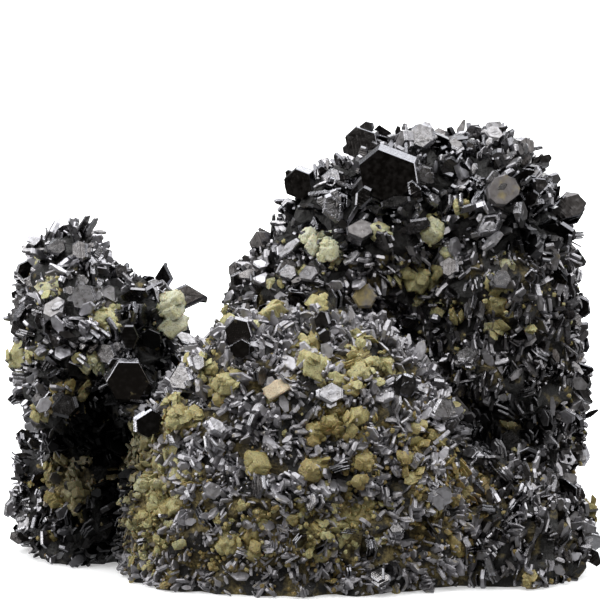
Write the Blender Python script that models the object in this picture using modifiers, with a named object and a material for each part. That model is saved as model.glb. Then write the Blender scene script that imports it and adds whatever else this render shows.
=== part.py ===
"""Hematite pseudomorph after magnetite: a cluster of hexagonal tablets with siderite rhombs.

Three mounds of intergrown crystals rise from one root, which is cut off flat underneath.
X runs to the right of the front view, Y runs away from the viewer and Z is up.
Tables give millimetres and degrees. The meshes are in metres.
"""

import math
import random
from collections import namedtuple

import bmesh
import bpy
from mathutils import Matrix, Vector
from mathutils.bvhtree import BVHTree

NAME = "crystal_cluster"
MM = 0.001

# The cluster is drawn as it is seen from the front, from this far above the level
VIEW_RISE = math.radians(10)
VIEW_DISTANCE = 150 * MM

# The skin over the mounds
SKIN_VOXEL = 1.2 * MM
LUMP_SIZE = 5 * MM
LUMP_HEIGHT = 4.6 * MM
SKIN_FACE_SHARE = 0.05

# Tablets and rhombs scattered between the placed ones
SEED = 1
TABLET_COUNT = 152
TABLET_ACROSS = (2.6, 4.4)
SUMMIT_ACROSS = (3.4, 5.4)
SUMMIT_HEIGHT = 42 * MM
TABLET_THICKNESS = 0.26
TABLET_SPACING = 2.2 * MM
TABLET_LEAN = (48, 90)
TABLET_RAISE = 0.12
RHOMB_COUNT = 18
RHOMB_SIDE = (1.9, 2.9)
RHOMB_LEAN = (0, 60)
RHOMB_ANGLE = math.radians(107)
RHOMB_SIDE_TO_ACROSS = 0.7
RIM_BEVEL = 0.32
BEVELLED_FROM = 4.5

# Faces that look away from the viewer by more than this get fewer of them
REARWARD = 0.3
FRONT_SHARE = 2.6
TRIES_PER_SEAT = 12
LOWEST_SEAT = 1.5 * MM

GROUND_DEPTH = 200 * MM
WELD = 0.002 * MM

Mound = namedtuple("Mound", "x y z half_x half_y half_z")

MOUNDS = (
    # Left mound: its crown, its right shoulder and the foot under them
    Mound(-30.5, 1, 29, 7.5, 13, 16),
    Mound(-22.3, 0, 25, 7.8, 12, 13.5),
    Mound(-28.5, 4, 9, 9, 12, 18),
    # Front mound
    Mound(0.3, -13, 6, 24.5, 14.5, 30.5),
    # Right mound: two summits, two steps down to the left, the right flank and a low bulge
    Mound(13.5, 6, 44, 8.5, 11, 12.5),
    Mound(25.2, 6, 43.5, 9, 12, 13),
    Mound(9, 5, 40, 11, 11, 13),
    Mound(2.5, 4, 27, 13, 13, 18),
    Mound(6, 4, 20, 14, 13, 20),
    Mound(26, 5, 34, 11.5, 13, 19),
    Mound(25, 5, 22, 13, 14, 24),
    Mound(27, -10, 3, 11, 12, 13),
    # Root behind and below all three
    Mound(0, 6, 0, 36, 14, 20),
)

Crystal = namedtuple("Crystal", "x up across thickness turn tilt spin out")

# x is across the front view and up is along it. A tablet's broad face looks turn degrees to the
# right of the viewer and tilt degrees upwards. It stands out from the skin by out.
TABLETS = (
    # Summit
    Crystal(11.6, 50.8, 8.4, 3.0, -6, 8, 16, 2.0),
    Crystal(8.5, 55.2, 5.8, 2.6, -22, 16, 14, 2.0),
    Crystal(0.2, 49.9, 5.0, 2.6, -18, 4, 12, 0.4),
    Crystal(4.0, 50.4, 3.4, 1.6, 12, 22, 8, 0.6),
    Crystal(13.9, 55.5, 3.4, 1.4, -62, 8, 30, 0.6),
    Crystal(16.3, 56.0, 3.9, 1.1, -4, 26, 10, 1.0),
    Crystal(20.8, 54.8, 3.6, 1.1, 24, 62, 0, 1.0),
    Crystal(18.8, 56.0, 3.2, 1.2, -20, 30, 10, 0.6),
    Crystal(25.8, 56.2, 3.8, 1.2, 18, 56, 12, 1.0),
    Crystal(29.8, 54.6, 3.0, 1.7, 30, 12, 0, 0.8),
    Crystal(26.8, 53.0, 3.6, 1.3, 70, 30, 0, 0.8),
    Crystal(26.7, 48.9, 5.2, 1.4, 14, 18, 24, 1.0),
    Crystal(4.4, 46.4, 4.6, 1.3, 24, 6, 18, 0.8),
    Crystal(16.8, 51.0, 2.9, 1.5, -8, 4, 15, 1.2),
    Crystal(20.4, 47.2, 3.4, 1.0, -50, 4, 30, 0.8),
    Crystal(25.1, 44.2, 4.6, 1.8, -16, 8, 20, 1.0),
    Crystal(29.2, 46.0, 3.2, 1.1, 66, 8, 30, 0.8),
    # Right face and left shoulder of the right mound
    Crystal(7.8, 43.4, 4.4, 1.6, 12, 44, 0, 0.8),
    Crystal(10.7, 42.2, 4.2, 1.0, -48, -12, 20, 0.8),
    Crystal(8.5, 34.8, 3.8, 1.2, 4, 14, 30, 0.8),
    Crystal(-5.3, 42.2, 3.6, 1.6, -24, 14, 30, 0.4),
    Crystal(-1.7, 37.9, 2.9, 1.5, 8, 20, 10, 0.8),
    Crystal(1.1, 37.8, 2.9, 1.5, -14, 16, 24, 0.8),
    Crystal(-8.4, 38.4, 3.2, 1.3, -30, 10, 12, 0.2),
    Crystal(20.0, 38.6, 3.6, 1.1, -22, 26, 8, 0.8),
    Crystal(26.4, 37.0, 3.4, 1.2, 20, 30, 20, 0.8),
    Crystal(21.9, 26.8, 3.8, 1.1, 16, 58, 12, 0.8),
    Crystal(17.2, 25.4, 3.4, 1.0, -12, 64, 0, 0.8),
    # Front mound
    Crystal(-7.9, 30.2, 4.4, 1.9, -24, 14, 18, 0.6),
    Crystal(-7.6, 28.0, 3.0, 1.4, -4, 6, 0, 1.2),
    Crystal(-15.4, 24.0, 4.2, 1.3, -34, 10, 30, 0.6),
    Crystal(-13.2, 26.0, 2.8, 1.2, -10, 30, 10, 0.6),
    Crystal(3.2, 31.6, 3.0, 1.3, -20, 2, 20, 0.6),
    Crystal(3.2, 29.6, 2.8, 1.2, 10, 4, 0, 0.6),
    Crystal(13.7, 23.1, 3.6, 1.3, 10, 12, 10, 0.8),
    Crystal(18.6, 20.0, 4.0, 1.3, 24, 10, 24, 0.8),
    Crystal(4.0, 22.1, 3.8, 1.1, 2, 22, 0, 0.8),
    Crystal(-11.3, 17.7, 3.0, 1.2, 50, 24, 20, 0.8),
    Crystal(-11.5, 15.3, 3.4, 0.9, -56, 6, 30, 0.6),
    Crystal(-16.3, 16.2, 2.6, 0.9, 30, 52, 0, 0.6),
    Crystal(-11.3, 9.4, 3.2, 1.2, 14, 12, 10, 0.6),
    Crystal(-20.0, 18.1, 4.6, 1.1, -14, -4, 14, 1.0),
    # Left mound
    Crystal(-22.7, 23.9, 6.8, 1.7, 6, 2, 28, 1.8),
    Crystal(-19.5, 29.2, 3.4, 1.5, -6, 10, 8, 0.8),
    Crystal(-21.4, 32.6, 3.8, 1.2, 58, 8, 30, 0.8),
    Crystal(-28.3, 34.8, 4.6, 1.6, -12, 14, 22, 0.8),
    Crystal(-25.4, 35.2, 3.2, 1.4, 16, 18, 0, 0.6),
    Crystal(-25.2, 27.4, 3.6, 1.3, -28, 6, 30, 0.8),
    Crystal(-18.1, 37.2, 4.2, 1.5, -14, 4, 30, 0.4),
    Crystal(-23.9, 38.0, 2.2, 1.5, 20, 20, 10, 0.4),
    Crystal(-15.4, 34.7, 6.2, 1.4, -10, 64, 4, 0.0),
    Crystal(-32.2, 33.0, 4.0, 1.2, -30, 40, 12, 0.8),
    Crystal(-31.0, 20.4, 4.4, 1.4, -16, 10, 20, 0.8),
    Crystal(-29.0, 40.8, 3.6, 1.3, -22, 24, 12, 0.4),
    Crystal(-32.4, 41.2, 3.2, 1.2, 18, 34, 4, 0.4),
)

RHOMBS = (
    Crystal(-17.0, 33.7, 3.6, 0, -20, 20, 10, 0.3),
    Crystal(-25.6, 32.0, 2.8, 0, 10, 30, 40, 0.3),
    Crystal(-27.8, 26.5, 2.8, 0, 25, 15, 70, 0.3),
    Crystal(1.2, 42.8, 2.4, 0, -15, 25, 20, 0.4),
    Crystal(2.1, 41.4, 2.6, 0, 20, 10, 60, 0.4),
    Crystal(4.0, 40.8, 2.8, 0, 5, 30, 100, 0.4),
    Crystal(17.4, 43.4, 3.4, 0, -10, 15, 30, 0.5),
    Crystal(10.5, 43.4, 2.6, 0, 15, 20, 80, 0.4),
    Crystal(15.5, 36.9, 3.2, 0, 0, 25, 50, 0.4),
    Crystal(21.4, 46.3, 2.4, 0, 30, 10, 15, 0.4),
    Crystal(-16.1, 18.6, 2.4, 0, -25, 10, 35, 0.3),
    Crystal(-9.9, 23.2, 2.8, 0, -10, 20, 75, 0.3),
    Crystal(2.1, 17.1, 2.2, 0, 10, 15, 25, 0.3),
    Crystal(4.2, 18.0, 2.2, 0, -15, 5, 65, 0.3),
    Crystal(7.6, 19.1, 2.4, 0, 20, 20, 5, 0.3),
    Crystal(1.4, 11.9, 2.4, 0, 0, 10, 45, 0.3),
    Crystal(8.4, 13.2, 2.4, 0, 15, 15, 85, 0.3),
)


def make_material(name, colour, roughness, metallic):
    """A Principled material of one colour."""
    material = bpy.data.materials.new(name)
    material.use_nodes = True
    shader = material.node_tree.nodes["Principled BSDF"]
    shader.inputs["Base Color"].default_value = (*colour, 1)
    shader.inputs["Roughness"].default_value = roughness
    shader.inputs["Metallic"].default_value = metallic
    material.diffuse_color = (*colour, 1)
    return material


def new_collection(name):
    """A collection of the scene."""
    collection = bpy.data.collections.new(name)
    bpy.context.scene.collection.children.link(collection)
    return collection


def add_object(name, form, collection):
    """An object that holds the given bmesh, which is freed."""
    mesh = bpy.data.meshes.new(name)
    form.to_mesh(mesh)
    form.free()
    body = bpy.data.objects.new(name, mesh)
    collection.objects.link(body)
    return body


def settled_mesh(body):
    """The mesh of an object after its modifiers."""
    bpy.context.view_layer.update()
    return bpy.data.meshes.new_from_object(body.evaluated_get(bpy.context.evaluated_depsgraph_get()))


def mound_skin(guides):
    """One lumpy faceted skin over all the mounds."""
    form = bmesh.new()
    for mound in MOUNDS:
        size = Matrix.Diagonal((mound.half_x * MM, mound.half_y * MM, mound.half_z * MM, 1))
        place = Matrix.Translation((mound.x * MM, mound.y * MM, mound.z * MM))
        bmesh.ops.create_icosphere(form, subdivisions=4, radius=1, matrix=place @ size)
    body = add_object("mounds", form, guides)

    skin = body.modifiers.new("skin", "REMESH")
    skin.mode = "VOXEL"
    skin.voxel_size = SKIN_VOXEL

    lumps = bpy.data.textures.new("lumps", "CLOUDS")
    lumps.noise_scale = LUMP_SIZE
    lumps.noise_depth = 1
    swell = body.modifiers.new("lumps", "DISPLACE")
    swell.texture = lumps
    swell.texture_coords = "LOCAL"
    swell.strength = LUMP_HEIGHT
    swell.mid_level = 0.5

    thin = body.modifiers.new("facets", "DECIMATE")
    thin.ratio = SKIN_FACE_SHARE
    return body


def facing_matrix(turn, tilt, spin):
    """Turns local +Z to the given facing, with the crystal spun about it."""
    turn = math.radians(turn)
    tilt = math.radians(tilt)
    facing = Vector((math.sin(turn) * math.cos(tilt), -math.cos(turn) * math.cos(tilt), math.sin(tilt)))
    aim = facing.to_track_quat("Z", "Y").to_matrix().to_4x4()
    return aim @ Matrix.Rotation(math.radians(spin), 4, "Z")


def seat_in_view(crystal, surface):
    """The point where the front view's line through (x, up) meets the skin, moved out of it."""
    across = Vector((crystal.x * MM, 0, 0))
    upwards = Vector((0, math.sin(VIEW_RISE), math.cos(VIEW_RISE)))
    onwards = Vector((0, math.cos(VIEW_RISE), -math.sin(VIEW_RISE)))
    start = across + upwards * crystal.up * MM - onwards * VIEW_DISTANCE
    point = surface.ray_cast(start, onwards)[0]
    if point is None:
        point = surface.find_nearest(start + onwards * VIEW_DISTANCE)[0]
        depth = (point - start).dot(onwards)
        point = start + onwards * depth
    return point - onwards * crystal.out * MM


def add_tablet(form, place, across, thickness):
    """A hexagonal tablet, with a bevelled rim where it is large."""
    radius = across / 2 * MM
    depth = thickness * MM
    made = bmesh.ops.create_cone(form, cap_ends=True, segments=6, radius1=radius, radius2=radius,
                                 depth=depth, matrix=place)
    faces = dict.fromkeys(face for corner in made["verts"] for face in corner.link_faces)
    if across >= BEVELLED_FROM:
        rims = [edge for face in faces if len(face.verts) == 6 for edge in face.edges]
        bmesh.ops.bevel(form, geom=rims, offset=depth * RIM_BEVEL, segments=1, affect="EDGES")


def add_rhomb(form, place, side):
    """A rhombohedron standing on its long diagonal."""
    lean = math.acos(math.sqrt((1 + 2 * math.cos(RHOMB_ANGLE)) / 3))
    columns = []
    for step in range(3):
        around = step * math.tau / 3
        columns.append(Vector((math.sin(lean) * math.cos(around),
                               math.sin(lean) * math.sin(around), math.cos(lean))))
    shear = Matrix(columns).transposed().to_4x4()
    bmesh.ops.create_cube(form, size=side * MM, matrix=place @ shear)


def scattered_seats(rng, mesh, count, spacing, taken):
    """Seats spread over the skin by area, clear of the taken ones."""
    faces = list(mesh.polygons)
    areas = [face.area * (FRONT_SHARE if face.normal.y < REARWARD else 1) for face in faces]
    seats = []
    for face in rng.choices(faces, weights=areas, k=count * TRIES_PER_SEAT):
        if len(seats) == count:
            break
        corners = [mesh.vertices[index].co for index in face.vertices[:3]]
        a, b = sorted((rng.random(), rng.random()))
        point = corners[0] * a + corners[1] * (b - a) + corners[2] * (1 - b)
        if point.z < LOWEST_SEAT:
            continue
        if any((point - other).length < spacing + reach for other, reach in taken):
            continue
        taken.append((point, 0))
        seats.append((point, face.normal.copy()))
    return seats


def random_stance(rng, normal, lean):
    """Turns local +Z away from the skin's normal by an angle in the lean range, to any side."""
    sideways = normal.orthogonal().normalized()
    sideways.rotate(Matrix.Rotation(rng.uniform(0, math.tau), 3, normal))
    angle = math.radians(rng.uniform(*lean))
    facing = normal * math.cos(angle) + sideways * math.sin(angle)
    return facing.to_track_quat("Z", "Y").to_matrix().to_4x4() @ Matrix.Rotation(
        rng.uniform(0, math.tau), 4, "Z")


def grow_crystals(skin_mesh, guides):
    """All tablets and all rhombs, as two objects of overlapping solids."""
    source = bmesh.new()
    source.from_mesh(skin_mesh)
    surface = BVHTree.FromBMesh(source)
    source.free()
    taken = []

    tablets = bmesh.new()
    for crystal in TABLETS:
        seat = seat_in_view(crystal, surface)
        taken.append((seat, crystal.across / 2 * MM))
        place = Matrix.Translation(seat) @ facing_matrix(crystal.turn, crystal.tilt, crystal.spin)
        add_tablet(tablets, place, crystal.across, crystal.thickness)

    rhombs = bmesh.new()
    for crystal in RHOMBS:
        seat = seat_in_view(crystal, surface)
        taken.append((seat, crystal.across / 2 * MM))
        place = Matrix.Translation(seat) @ facing_matrix(crystal.turn, crystal.tilt, crystal.spin)
        add_rhomb(rhombs, place, crystal.across * RHOMB_SIDE_TO_ACROSS)

    rng = random.Random(SEED)
    for seat, normal in scattered_seats(rng, skin_mesh, TABLET_COUNT, TABLET_SPACING, taken):
        across = rng.uniform(*(SUMMIT_ACROSS if seat.z > SUMMIT_HEIGHT else TABLET_ACROSS))
        stance = random_stance(rng, normal, TABLET_LEAN)
        raised = seat + normal * across * TABLET_RAISE * MM
        add_tablet(tablets, Matrix.Translation(raised) @ stance, across, across * TABLET_THICKNESS)
    for seat, normal in scattered_seats(rng, skin_mesh, RHOMB_COUNT, TABLET_SPACING, taken):
        side = rng.uniform(*RHOMB_SIDE)
        stance = random_stance(rng, normal, RHOMB_LEAN)
        add_rhomb(rhombs, Matrix.Translation(seat) @ stance, side)
    return add_object("tablets", tablets, guides), add_object("rhombs", rhombs, guides)


def ground_block(guides):
    """The block below the flat underside."""
    form = bmesh.new()
    bmesh.ops.create_cube(form, size=GROUND_DEPTH,
                          matrix=Matrix.Translation((0, 0, -GROUND_DEPTH / 2)))
    return add_object("ground", form, guides)


def keep_outer_shell(form):
    """Drops every loose piece and closed hollow, so one closed skin is left."""
    waiting = set(form.faces)
    shells = []
    while waiting:
        front = [waiting.pop()]
        shell = set(front)
        while front:
            face = front.pop()
            for edge in face.edges:
                for other in edge.link_faces:
                    if other in waiting:
                        waiting.remove(other)
                        shell.add(other)
                        front.append(other)
        shells.append(shell)
    largest = max(shells, key=len)
    spare = [face for shell in shells if shell is not largest for face in shell]
    bmesh.ops.delete(form, geom=spare, context="FACES")


def join_cluster():
    """The skin and its crystals as one solid, cut off flat underneath."""
    parts = new_collection(NAME)
    guides = new_collection("guides")
    hematite = make_material("hematite", (0.035, 0.034, 0.037), 0.22, 0.85)
    siderite = make_material("siderite", (0.42, 0.37, 0.16), 0.5, 0.0)

    mounds = mound_skin(guides)
    skin_mesh = settled_mesh(mounds)
    tablets, rhombs = grow_crystals(skin_mesh, guides)
    skin = bpy.data.objects.new(NAME, skin_mesh)
    parts.objects.link(skin)
    skin_mesh.materials.append(hematite)
    tablets.data.materials.append(hematite)
    rhombs.data.materials.append(siderite)

    ground = ground_block(guides)
    for operand, operation in ((tablets, "UNION"), (rhombs, "UNION"), (ground, "DIFFERENCE")):
        step = skin.modifiers.new(operand.name, "BOOLEAN")
        step.operation = operation
        step.object = operand
        step.solver = "EXACT"
        step.use_self = operand is not ground
        step.material_mode = "TRANSFER"
    joined = settled_mesh(skin)
    skin.modifiers.clear()

    form = bmesh.new()
    form.from_mesh(joined)
    bmesh.ops.remove_doubles(form, verts=form.verts, dist=WELD)
    bmesh.ops.dissolve_degenerate(form, edges=form.edges, dist=WELD)
    bmesh.ops.triangulate(form, faces=form.faces)
    keep_outer_shell(form)
    form.to_mesh(joined)
    form.free()
    skin.data = joined

    for guide in list(guides.objects):
        bpy.data.objects.remove(guide)
    bpy.data.collections.remove(guides)
    return skin


def centre_on_base(body):
    """Puts the origin at the middle of the underside."""
    points = [vertex.co for vertex in body.data.vertices]
    low = Vector(min(point[axis] for point in points) for axis in range(3))
    high = Vector(max(point[axis] for point in points) for axis in range(3))
    middle = (low + high) / 2
    body.data.transform(Matrix.Translation((-middle.x, -middle.y, -low.z)))


def main():
    for leftover in list(bpy.data.objects):
        bpy.data.objects.remove(leftover)
    centre_on_base(join_cluster())


main()
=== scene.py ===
"""A cabinet specimen of hematite pseudomorph after magnetite with siderite, on a pale floor.

Black hexagonal tablets cover three mounds, with cream to ochre rhombs and grains between them.
X runs to the right of the front view, Y runs away from the viewer and Z is up.
Tables give millimetres and degrees, and the meshes are in metres.
"""

import math
import random
from collections import namedtuple

import bmesh
import bpy
import numpy
from mathutils import Matrix, Vector, noise
from mathutils.bvhtree import BVHTree

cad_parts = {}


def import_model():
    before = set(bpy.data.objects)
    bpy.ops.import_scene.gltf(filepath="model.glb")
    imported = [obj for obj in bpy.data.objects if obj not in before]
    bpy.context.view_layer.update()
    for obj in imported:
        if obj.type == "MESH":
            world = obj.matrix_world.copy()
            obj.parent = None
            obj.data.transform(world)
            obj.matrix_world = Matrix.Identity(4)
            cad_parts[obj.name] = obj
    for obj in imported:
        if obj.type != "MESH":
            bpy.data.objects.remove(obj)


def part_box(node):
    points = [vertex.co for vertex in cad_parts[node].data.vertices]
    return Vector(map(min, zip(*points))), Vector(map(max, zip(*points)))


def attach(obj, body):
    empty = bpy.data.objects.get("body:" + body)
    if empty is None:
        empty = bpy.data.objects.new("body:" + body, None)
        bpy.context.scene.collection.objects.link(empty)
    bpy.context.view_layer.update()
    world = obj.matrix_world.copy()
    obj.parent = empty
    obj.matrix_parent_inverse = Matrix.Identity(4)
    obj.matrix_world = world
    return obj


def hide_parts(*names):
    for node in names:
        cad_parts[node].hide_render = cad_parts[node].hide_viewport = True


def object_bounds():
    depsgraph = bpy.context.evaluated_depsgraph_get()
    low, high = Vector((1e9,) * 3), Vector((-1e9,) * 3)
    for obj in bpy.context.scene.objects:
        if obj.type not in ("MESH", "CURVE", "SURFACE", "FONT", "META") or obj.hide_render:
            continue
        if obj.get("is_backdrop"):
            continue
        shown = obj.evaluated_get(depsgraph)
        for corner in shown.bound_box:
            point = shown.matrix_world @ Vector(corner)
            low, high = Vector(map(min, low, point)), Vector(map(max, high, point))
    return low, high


MM = 0.001
NODE = "crystal_cluster"
UPRIGHT = Vector((0, 0, 1))

# The cluster is drawn as it is seen from the front, from this far above the level
VIEW_RISE = math.radians(10)
VIEW_UP = Vector((0, math.sin(VIEW_RISE), math.cos(VIEW_RISE)))
VIEW_ON = Vector((0, math.cos(VIEW_RISE), -math.sin(VIEW_RISE)))
VIEW_DISTANCE = 150 * MM
FRAME_WIDTH = 80 * MM
FRAME_MIDDLE_UP = 34.3 * MM
CAMERA_DISTANCE = 1500 * MM
SENSOR = 36
CLIP_RANGE = (0.05, 20)
FLOOR_SIZE = 3
FLOOR_GAP = 0.05 * MM

# The skin over the mounds, as the solid has it
SKIN_VOXEL = 1.2 * MM
LUMP_SIZE = 5 * MM
LUMP_HEIGHT = 4.6 * MM
SKIN_FACE_SHARE = 0.05

# The crystals that the solid has between its placed ones
SEED = 1
TABLET_COUNT = 152
TABLET_ACROSS = (2.6, 4.4)
SUMMIT_ACROSS = (3.4, 5.4)
SUMMIT_HEIGHT = 42 * MM
TABLET_THICKNESS = 0.26
SEAT_SPACING = 2.2 * MM
TABLET_LEAN = (48, 90)
TABLET_RAISE = 0.12
RHOMB_COUNT = 18
RHOMB_SIDE = (1.9, 2.9)
RHOMB_LEAN = (0, 60)
RHOMB_ANGLE = math.radians(107)
RHOMB_SIDE_TO_ACROSS = 0.7
REARWARD = 0.3
FRONT_SHARE = 2.6
TRIES_PER_SEAT = 12
LOWEST_SEAT = 1.5 * MM

# The crust between the crystals lies a little deeper than the solid's skin
CRUST_VOXEL = 0.85 * MM
CRUST_DEPTH = 1.1 * MM
GRAIN_SIZE = 1.3 * MM
GRAIN_HEIGHT = 1.0 * MM
CRUST_OCHRE = 1.4

# Each mound's middle, then its half width, depth and height
MOUNDS = {
    "left": (
        (-30.5, 1, 29, 7.5, 13, 16), (-22.3, 0, 25, 7.8, 12, 13.5), (-28.5, 4, 9, 9, 12, 18),
    ),
    "front": (
        (0.3, -13, 6, 24.5, 14.5, 30.5),
    ),
    "right": (
        (13.5, 6, 44, 8.5, 11, 12.5), (25.2, 6, 43.5, 9, 12, 13), (9, 5, 40, 11, 11, 13),
        (2.5, 4, 27, 13, 13, 18), (6, 4, 20, 14, 13, 20), (26, 5, 34, 11.5, 13, 19),
        (25, 5, 22, 13, 14, 24), (27, -10, 3, 11, 12, 13),
    ),
    "root": (
        (0, 6, 0, 36, 14, 20),
    ),
}
FOOT_HEIGHT = 13 * MM

Crystal = namedtuple("Crystal", "x up across thickness turn tilt spin out tone form", defaults=("sheet",))

# x is across the front view and up is along it. A tablet's broad face looks turn degrees to the
# right of the viewer and tilt degrees upwards. It stands out from the skin by out. Its tone goes
# from 0, black, to 1, pale grey.
TABLETS = [Crystal(*row) for row in (
    # Summit
    (11.6, 50.8, 8.4, 3, -6, 8, 10, 2, 0.03, "crown"),
    (8.5, 55.2, 5.8, 2.6, -14, 12, 14, 2, 0.1, "hood"),
    (0.2, 49.9, 5, 2.6, -18, 4, 12, 0.4, 0.06, "hood"), (4, 50.4, 3.4, 1.6, 12, 22, 8, 0.6, 0.65),
    (13.9, 55.5, 3.4, 1.4, -62, 8, 30, 0.6, 0.6), (16.3, 56, 3.9, 1.1, -4, 26, 10, 1, 0.5, "round"),
    (20.8, 54.8, 3.6, 1.1, 24, 62, 0, 1, 0.3), (18.8, 56, 3.2, 1.2, -20, 30, 10, 0.6, 0.25),
    (25.8, 56.2, 3.8, 1.2, 18, 56, 12, 1, 0.6), (29.8, 54.6, 3, 1.7, 30, 12, 0, 0.8, 0.3, "round"),
    (26.8, 53, 3.6, 1.3, 70, 30, 0, 0.8, 0.2), (26.7, 48.9, 5.2, 1.4, 14, 18, 24, 1, 0.34, "dull"),
    (4.4, 46.4, 4.6, 1.3, 4, 12, 112, 0.8, 0.55, "framed"),
    (16.8, 51, 2.9, 1.5, -8, 4, 15, 1.2, 0.55), (20.4, 47.2, 3.4, 1, -50, 4, 30, 0.8, 0.5),
    (25.1, 44.2, 4.6, 1.8, -16, 16, 40, 1, 0.75, "framed"),
    (29.2, 46, 3.2, 1.1, 66, 8, 30, 0.8, 0.6),
    # Right face and left shoulder of the right mound
    (7.8, 43.4, 4.4, 1.6, 12, 44, 0, 0.8, 0.18), (10.7, 42.2, 4.2, 1, -48, -12, 20, 0.8, 0.2),
    (8.5, 34.8, 3.8, 1.2, 4, 14, 30, 0.8, 0.4, "filmed"),
    (-5.3, 42.2, 3.6, 1.6, -24, 14, 30, 0.4, 0.1), (-1.7, 37.9, 2.9, 1.5, 8, 20, 10, 0.8, 0.62),
    (1.1, 37.8, 2.9, 1.5, -14, 16, 24, 0.8, 0.66), (-8.4, 38.4, 3.2, 1.3, -30, 10, 12, 0.2, 0.25),
    (20, 38.6, 3.6, 1.1, -22, 26, 8, 0.8, 0.25), (26.4, 37, 3.4, 1.2, 20, 30, 20, 0.8, 0.3),
    (21.9, 26.8, 3.8, 1.1, 16, 58, 12, 0.8, 0.45), (17.2, 25.4, 3.4, 1, -12, 64, 0, 0.8, 0.45),
    # Front mound
    (-7.9, 30.2, 4.4, 1.9, -10, 8, 18, 0.6, 0, "hood"),
    (-7.6, 28, 3, 1.4, -4, 6, 0, 1.2, 0, "hood"),
    (-15.4, 24, 4.2, 1.3, -34, 10, 30, 0.6, 0.5, "plate"),
    (-13.2, 26, 2.8, 1.2, -10, 30, 10, 0.6, 0.6), (3.2, 31.6, 3, 1.3, -20, 2, 20, 0.6, 0.1),
    (3.2, 29.6, 2.8, 1.2, 10, 4, 0, 0.6, 0.1),
    (13.7, 23.1, 3.6, 1.3, 10, 12, 10, 0.8, 0.15, "round"),
    (18.6, 20, 4, 1.3, 24, 10, 24, 0.8, 0.6), (4, 22.1, 3.8, 1.1, 2, 22, 0, 0.8, 0.7),
    (-11.3, 17.7, 3, 1.2, 50, 24, 20, 0.8, 0.9), (-11.5, 15.3, 3.4, 0.9, -56, 6, 30, 0.6, 0.85),
    (-16.3, 16.2, 2.6, 0.9, 30, 52, 0, 0.6, 0.6), (-11.3, 9.4, 3.2, 1.2, 14, 12, 10, 0.6, 0.7),
    (-20, 18.1, 4.6, 1.1, 0, 12, 2, 1, 0, "corner"),
    # Left mound
    (-22.7, 23.9, 6.8, 1.7, 6, 2, 28, 1.8, 0, "hood"),
    (-19.5, 29.2, 3.4, 1.5, -6, 10, 8, 0.8, 0, "hood"),
    (-21.4, 32.6, 3.8, 1.2, 58, 8, 30, 0.8, 0.15), (-28.3, 34.8, 4.6, 1.6, -12, 14, 22, 0.8, 0.62),
    (-25.4, 35.2, 3.2, 1.4, 16, 18, 0, 0.6, 0.6), (-25.2, 27.4, 3.6, 1.3, -28, 6, 30, 0.8, 0.5),
    (-18.1, 37.2, 4.2, 1.5, -14, 4, 88, 0.4, 0, "spear"),
    (-23.9, 38, 2.2, 1.5, 20, 20, 10, 0.4, 0.1, "round"),
    (-15.4, 34.7, 6.2, 1.4, -10, 34, 0, 0, 0, "spear"), (-32.2, 33, 4, 1.2, -30, 40, 12, 0.8, 0.5),
    (-31, 20.4, 4.4, 1.4, -16, 10, 20, 0.8, 0.2), (-29, 40.8, 3.6, 1.3, -22, 24, 12, 0.4, 0.25),
    (-32.4, 41.2, 3.2, 1.2, 18, 34, 4, 0.4, 0.25),
)]


def rhomb(x, up, across, turn, tilt, spin, out, tone):
    """A placed rhomb, whose tone goes from 0, brown, to 1, cream."""
    return Crystal(x, up, across, 0, turn, tilt, spin, out, tone, "rhomb")


RHOMBS = [rhomb(*row) for row in (
    (-17, 33.7, 3.6, -20, 20, 10, 0.3, 0.9), (-25.6, 32, 2.8, 10, 30, 40, 0.3, 0.75),
    (-27.8, 26.5, 2.8, 25, 15, 70, 0.3, 0.8), (1.2, 42.8, 2.4, -15, 25, 20, 0.4, 0.95),
    (2.1, 41.4, 2.6, 20, 10, 60, 0.4, 0.92), (4, 40.8, 2.8, 5, 30, 100, 0.4, 0.88),
    (17.4, 43.4, 3.4, -10, 15, 30, 0.5, 0.82), (10.5, 43.4, 2.6, 15, 20, 80, 0.4, 0.8),
    (15.5, 36.9, 3.2, 0, 25, 50, 0.4, 0.66), (21.4, 46.3, 2.4, 30, 10, 15, 0.4, 0.62),
    (-16.1, 18.6, 2.4, -25, 10, 35, 0.3, 0.62), (-9.9, 23.2, 2.8, -10, 20, 75, 0.3, 0.62),
    (2.1, 17.1, 2.2, 10, 15, 25, 0.3, 0.48), (4.2, 18, 2.2, -15, 5, 65, 0.3, 0.5),
    (7.6, 19.1, 2.4, 20, 20, 5, 0.3, 0.52), (1.4, 11.9, 2.4, 0, 10, 45, 0.3, 0.45),
    (8.4, 13.2, 2.4, 15, 15, 85, 0.3, 0.42),
)]

# Grains in view that the solid leaves out, each with how peach coloured it is
SINGLE_GRAINS = (
    (rhomb(-2.9, 22.7, 2.4, -40, 62, 30, 0.3, 0.45), 0.8),
    (rhomb(-16.8, 31.2, 2.7, -20, 50, 40, 0.3, 0.88), 0),
)

# Narrow plates that show edge on or aslant. Lean turns the long side anticlockwise from the right,
# and roll turns the broad face from edge on to the viewer, at 0, to facing the viewer, at 90.
BLADE_OUT = 1.3
BLADE_WIDER = 1.3
Blade = namedtuple("Blade", "x up length width thickness lean roll tone out", defaults=(BLADE_OUT,))

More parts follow.
